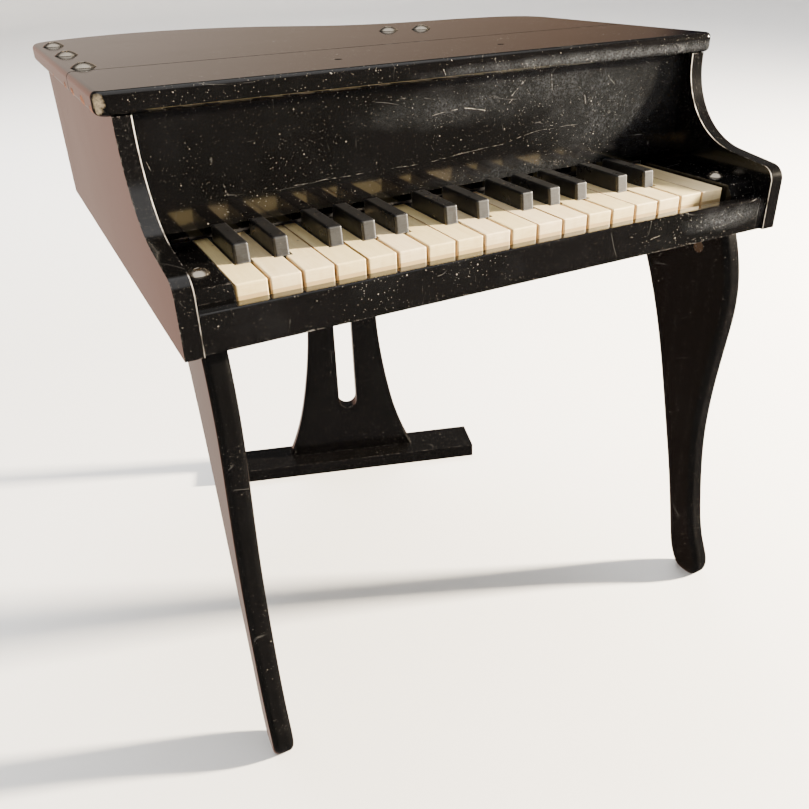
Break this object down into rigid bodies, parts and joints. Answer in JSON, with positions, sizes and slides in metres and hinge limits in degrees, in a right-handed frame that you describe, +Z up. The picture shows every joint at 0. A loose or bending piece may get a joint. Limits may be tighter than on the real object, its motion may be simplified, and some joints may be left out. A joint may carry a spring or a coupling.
{
  "type": "miniature grand piano",
  "caption": "Small wooden grand piano with a fixed curved lid, black and white keys that press down, shaped front legs and a slotted rear leg.",
  "frame": {"origin": "centre of the plan on the floor", "axes": "+X to the right of a player who faces the keys, +Y from the keys towards the tail, +Z up"},
  "size_m": [0.502, 0.5239, 0.4957],
  "materials": {
    "black_lacquer": "gloss black lacquered plywood",
    "raw_ply": "bare plywood",
    "key_wood": "pale natural wood, thin clear coat",
    "key_black": "satin black paint on wood",
    "nickel": "bright nickel plate",
    "steel": "plain steel",
    "felt": "black pressed felt"
  },
  "bodies": {
    "piano_case": {"lid_front": "black_lacquer", "lid_rear": "black_lacquer", "side_panel_left": "black_lacquer", "side_panel_right": "black_lacquer", "curved_wall": "black_lacquer", "fallboard": "black_lacquer", "front_rail": "black_lacquer", "end_block_left": "black_lacquer", "end_block_right": "black_lacquer", "bottom_board": "black_lacquer", "key_stop_rail": "black_lacquer", "front_leg_left": "black_lacquer", "front_leg_right": "black_lacquer", "rear_leg": "black_lacquer", "rear_foot_bar": "black_lacquer", "rest_rail": "raw_ply", "tone_rail": "raw_ply", "lid_brace": "raw_ply", "lid_bolts": "nickel", "leg_bolts": "nickel", "rear_leg_bolts": "nickel", "barrel_nuts": "nickel", "foot_bar_screws": "steel", "key_pivot_rod": "steel", "rod_brackets": "steel", "tone_clamp_bar": "steel", "tone_rods": "steel", "front_stop_felt": "felt", "rest_felt": "felt", "key_stop_felt": "felt"},
    "white_key_01_lever": {"white_key_01": "key_wood"},
    "white_key_02_lever": {"white_key_02": "key_wood"},
    "white_key_03_lever": {"white_key_03": "key_wood"},
    "white_key_04_lever": {"white_key_04": "key_wood"},
    "white_key_05_lever": {"white_key_05": "key_wood"},
    "white_key_06_lever": {"white_key_06": "key_wood"},
    "white_key_07_lever": {"white_key_07": "key_wood"},
    "white_key_08_lever": {"white_key_08": "key_wood"},
    "white_key_09_lever": {"white_key_09": "key_wood"},
    "white_key_10_lever": {"white_key_10": "key_wood"},
    "white_key_11_lever": {"white_key_11": "key_wood"},
    "white_key_12_lever": {"white_key_12": "key_wood"},
    "white_key_13_lever": {"white_key_13": "key_wood"},
    "white_key_14_lever": {"white_key_14": "key_wood"},
    "white_key_15_lever": {"white_key_15": "key_wood"},
    "white_key_16_lever": {"white_key_16": "key_wood"},
    "white_key_17_lever": {"white_key_17": "key_wood"},
    "white_key_18_lever": {"white_key_18": "key_wood"},
    "black_key_01_lever": {"black_key_01": "key_black"},
    "black_key_02_lever": {"black_key_02": "key_black"},
    "black_key_03_lever": {"black_key_03": "key_black"},
    "black_key_04_lever": {"black_key_04": "key_black"},
    "black_key_05_lever": {"black_key_05": "key_black"},
    "black_key_06_lever": {"black_key_06": "key_black"},
    "black_key_07_lever": {"black_key_07": "key_black"},
    "black_key_08_lever": {"black_key_08": "key_black"},
    "black_key_09_lever": {"black_key_09": "key_black"},
    "black_key_10_lever": {"black_key_10": "key_black"},
    "black_key_11_lever": {"black_key_11": "key_black"},
    "black_key_12_lever": {"black_key_12": "key_black"}
  },
  "joints": [
    {"name": "white_key_01_press", "type": "hinge", "parent": "piano_case", "child": "white_key_01_lever", "pos_m": [0, -0.11, 0.3793], "axis": [1, 0, 0], "range_deg": [0, 3.4], "stiffness_Nm_per_rad": 0.2, "springref_deg": -17.19},
    {"name": "white_key_02_press", "type": "hinge", "parent": "piano_case", "child": "white_key_02_lever", "pos_m": [0, -0.11, 0.3793], "axis": [1, 0, 0], "range_deg": [0, 3.4], "stiffness_Nm_per_rad": 0.2, "springref_deg": -17.19},
    {"name": "white_key_03_press", "type": "hinge", "parent": "piano_case", "child": "white_key_03_lever", "pos_m": [0, -0.11, 0.3793], "axis": [1, 0, 0], "range_deg": [0, 3.4], "stiffness_Nm_per_rad": 0.2, "springref_deg": -17.19},
    {"name": "white_key_04_press", "type": "hinge", "parent": "piano_case", "child": "white_key_04_lever", "pos_m": [0, -0.11, 0.3793], "axis": [1, 0, 0], "range_deg": [0, 3.4], "stiffness_Nm_per_rad": 0.2, "springref_deg": -17.19},
    {"name": "white_key_05_press", "type": "hinge", "parent": "piano_case", "child": "white_key_05_lever", "pos_m": [0, -0.11, 0.3793], "axis": [1, 0, 0], "range_deg": [0, 3.4], "stiffness_Nm_per_rad": 0.2, "springref_deg": -17.19},
    {"name": "white_key_06_press", "type": "hinge", "parent": "piano_case", "child": "white_key_06_lever", "pos_m": [0, -0.11, 0.3793], "axis": [1, 0, 0], "range_deg": [0, 3.4], "stiffness_Nm_per_rad": 0.2, "springref_deg": -17.19},
    {"name": "white_key_07_press", "type": "hinge", "parent": "piano_case", "child": "white_key_07_lever", "pos_m": [0, -0.11, 0.3793], "axis": [1, 0, 0], "range_deg": [0, 3.4], "stiffness_Nm_per_rad": 0.2, "springref_deg": -17.19},
    {"name": "white_key_08_press", "type": "hinge", "parent": "piano_case", "child": "white_key_08_lever", "pos_m": [0, -0.11, 0.3793], "axis": [1, 0, 0], "range_deg": [0, 3.4], "stiffness_Nm_per_rad": 0.2, "springref_deg": -17.19},
    {"name": "white_key_09_press", "type": "hinge", "parent": "piano_case", "child": "white_key_09_lever", "pos_m": [0, -0.11, 0.3793], "axis": [1, 0, 0], "range_deg": [0, 3.4], "stiffness_Nm_per_rad": 0.2, "springref_deg": -17.19},
    {"name": "white_key_10_press", "type": "hinge", "parent": "piano_case", "child": "white_key_10_lever", "pos_m": [0, -0.11, 0.3793], "axis": [1, 0, 0], "range_deg": [0, 3.4], "stiffness_Nm_per_rad": 0.2, "springref_deg": -17.19},
    {"name": "white_key_11_press", "type": "hinge", "parent": "piano_case", "child": "white_key_11_lever", "pos_m": [0, -0.11, 0.3793], "axis": [1, 0, 0], "range_deg": [0, 3.4], "stiffness_Nm_per_rad": 0.2, "springref_deg": -17.19},
    {"name": "white_key_12_press", "type": "hinge", "parent": "piano_case", "child": "white_key_12_lever", "pos_m": [0, -0.11, 0.3793], "axis": [1, 0, 0], "range_deg": [0, 3.4], "stiffness_Nm_per_rad": 0.2, "springref_deg": -17.19},
    {"name": "white_key_13_press", "type": "hinge", "parent": "piano_case", "child": "white_key_13_lever", "pos_m": [0, -0.11, 0.3793], "axis": [1, 0, 0], "range_deg": [0, 3.4], "stiffness_Nm_per_rad": 0.2, "springref_deg": -17.19},
    {"name": "white_key_14_press", "type": "hinge", "parent": "piano_case", "child": "white_key_14_lever", "pos_m": [0, -0.11, 0.3793], "axis": [1, 0, 0], "range_deg": [0, 3.4], "stiffness_Nm_per_rad": 0.2, "springref_deg": -17.19},
    {"name": "white_key_15_press", "type": "hinge", "parent": "piano_case", "child": "white_key_15_lever", "pos_m": [0, -0.11, 0.3793], "axis": [1, 0, 0], "range_deg": [0, 3.4], "stiffness_Nm_per_rad": 0.2, "springref_deg": -17.19},
    {"name": "white_key_16_press", "type": "hinge", "parent": "piano_case", "child": "white_key_16_lever", "pos_m": [0, -0.11, 0.3793], "axis": [1, 0, 0], "range_deg": [0, 3.4], "stiffness_Nm_per_rad": 0.2, "springref_deg": -17.19},
    {"name": "white_key_17_press", "type": "hinge", "parent": "piano_case", "child": "white_key_17_lever", "pos_m": [0, -0.11, 0.3793], "axis": [1, 0, 0], "range_deg": [0, 3.4], "stiffness_Nm_per_rad": 0.2, "springref_deg": -17.19},
    {"name": "white_key_18_press", "type": "hinge", "parent": "piano_case", "child": "white_key_18_lever", "pos_m": [0, -0.11, 0.3793], "axis": [1, 0, 0], "range_deg": [0, 3.4], "stiffness_Nm_per_rad": 0.2, "springref_deg": -17.19},
    {"name": "black_key_01_press", "type": "hinge", "parent": "piano_case", "child": "black_key_01_lever", "pos_m": [0, -0.11, 0.3793], "axis": [1, 0, 0], "range_deg": [0, 3.4], "stiffness_Nm_per_rad": 0.2, "springref_deg": -17.19},
    {"name": "black_key_02_press", "type": "hinge", "parent": "piano_case", "child": "black_key_02_lever", "pos_m": [0, -0.11, 0.3793], "axis": [1, 0, 0], "range_deg": [0, 3.4], "stiffness_Nm_per_rad": 0.2, "springref_deg": -17.19},
    {"name": "black_key_03_press", "type": "hinge", "parent": "piano_case", "child": "black_key_03_lever", "pos_m": [0, -0.11, 0.3793], "axis": [1, 0, 0], "range_deg": [0, 3.4], "stiffness_Nm_per_rad": 0.2, "springref_deg": -17.19},
    {"name": "black_key_04_press", "type": "hinge", "parent": "piano_case", "child": "black_key_04_lever", "pos_m": [0, -0.11, 0.3793], "axis": [1, 0, 0], "range_deg": [0, 3.4], "stiffness_Nm_per_rad": 0.2, "springref_deg": -17.19},
    {"name": "black_key_05_press", "type": "hinge", "parent": "piano_case", "child": "black_key_05_lever", "pos_m": [0, -0.11, 0.3793], "axis": [1, 0, 0], "range_deg": [0, 3.4], "stiffness_Nm_per_rad": 0.2, "springref_deg": -17.19},
    {"name": "black_key_06_press", "type": "hinge", "parent": "piano_case", "child": "black_key_06_lever", "pos_m": [0, -0.11, 0.3793], "axis": [1, 0, 0], "range_deg": [0, 3.4], "stiffness_Nm_per_rad": 0.2, "springref_deg": -17.19},
    {"name": "black_key_07_press", "type": "hinge", "parent": "piano_case", "child": "black_key_07_lever", "pos_m": [0, -0.11, 0.3793], "axis": [1, 0, 0], "range_deg": [0, 3.4], "stiffness_Nm_per_rad": 0.2, "springref_deg": -17.19},
    {"name": "black_key_08_press", "type": "hinge", "parent": "piano_case", "child": "black_key_08_lever", "pos_m": [0, -0.11, 0.3793], "axis": [1, 0, 0], "range_deg": [0, 3.4], "stiffness_Nm_per_rad": 0.2, "springref_deg": -17.19},
    {"name": "black_key_09_press", "type": "hinge", "parent": "piano_case", "child": "black_key_09_lever", "pos_m": [0, -0.11, 0.3793], "axis": [1, 0, 0], "range_deg": [0, 3.4], "stiffness_Nm_per_rad": 0.2, "springref_deg": -17.19},
    {"name": "black_key_10_press", "type": "hinge", "parent": "piano_case", "child": "black_key_10_lever", "pos_m": [0, -0.11, 0.3793], "axis": [1, 0, 0], "range_deg": [0, 3.4], "stiffness_Nm_per_rad": 0.2, "springref_deg": -17.19},
    {"name": "black_key_11_press", "type": "hinge", "parent": "piano_case", "child": "black_key_11_lever", "pos_m": [0, -0.11, 0.3793], "axis": [1, 0, 0], "range_deg": [0, 3.4], "stiffness_Nm_per_rad": 0.2, "springref_deg": -17.19},
    {"name": "black_key_12_press", "type": "hinge", "parent": "piano_case", "child": "black_key_12_lever", "pos_m": [0, -0.11, 0.3793], "axis": [1, 0, 0], "range_deg": [0, 3.4], "stiffness_Nm_per_rad": 0.2, "springref_deg": -17.19}
  ]
}
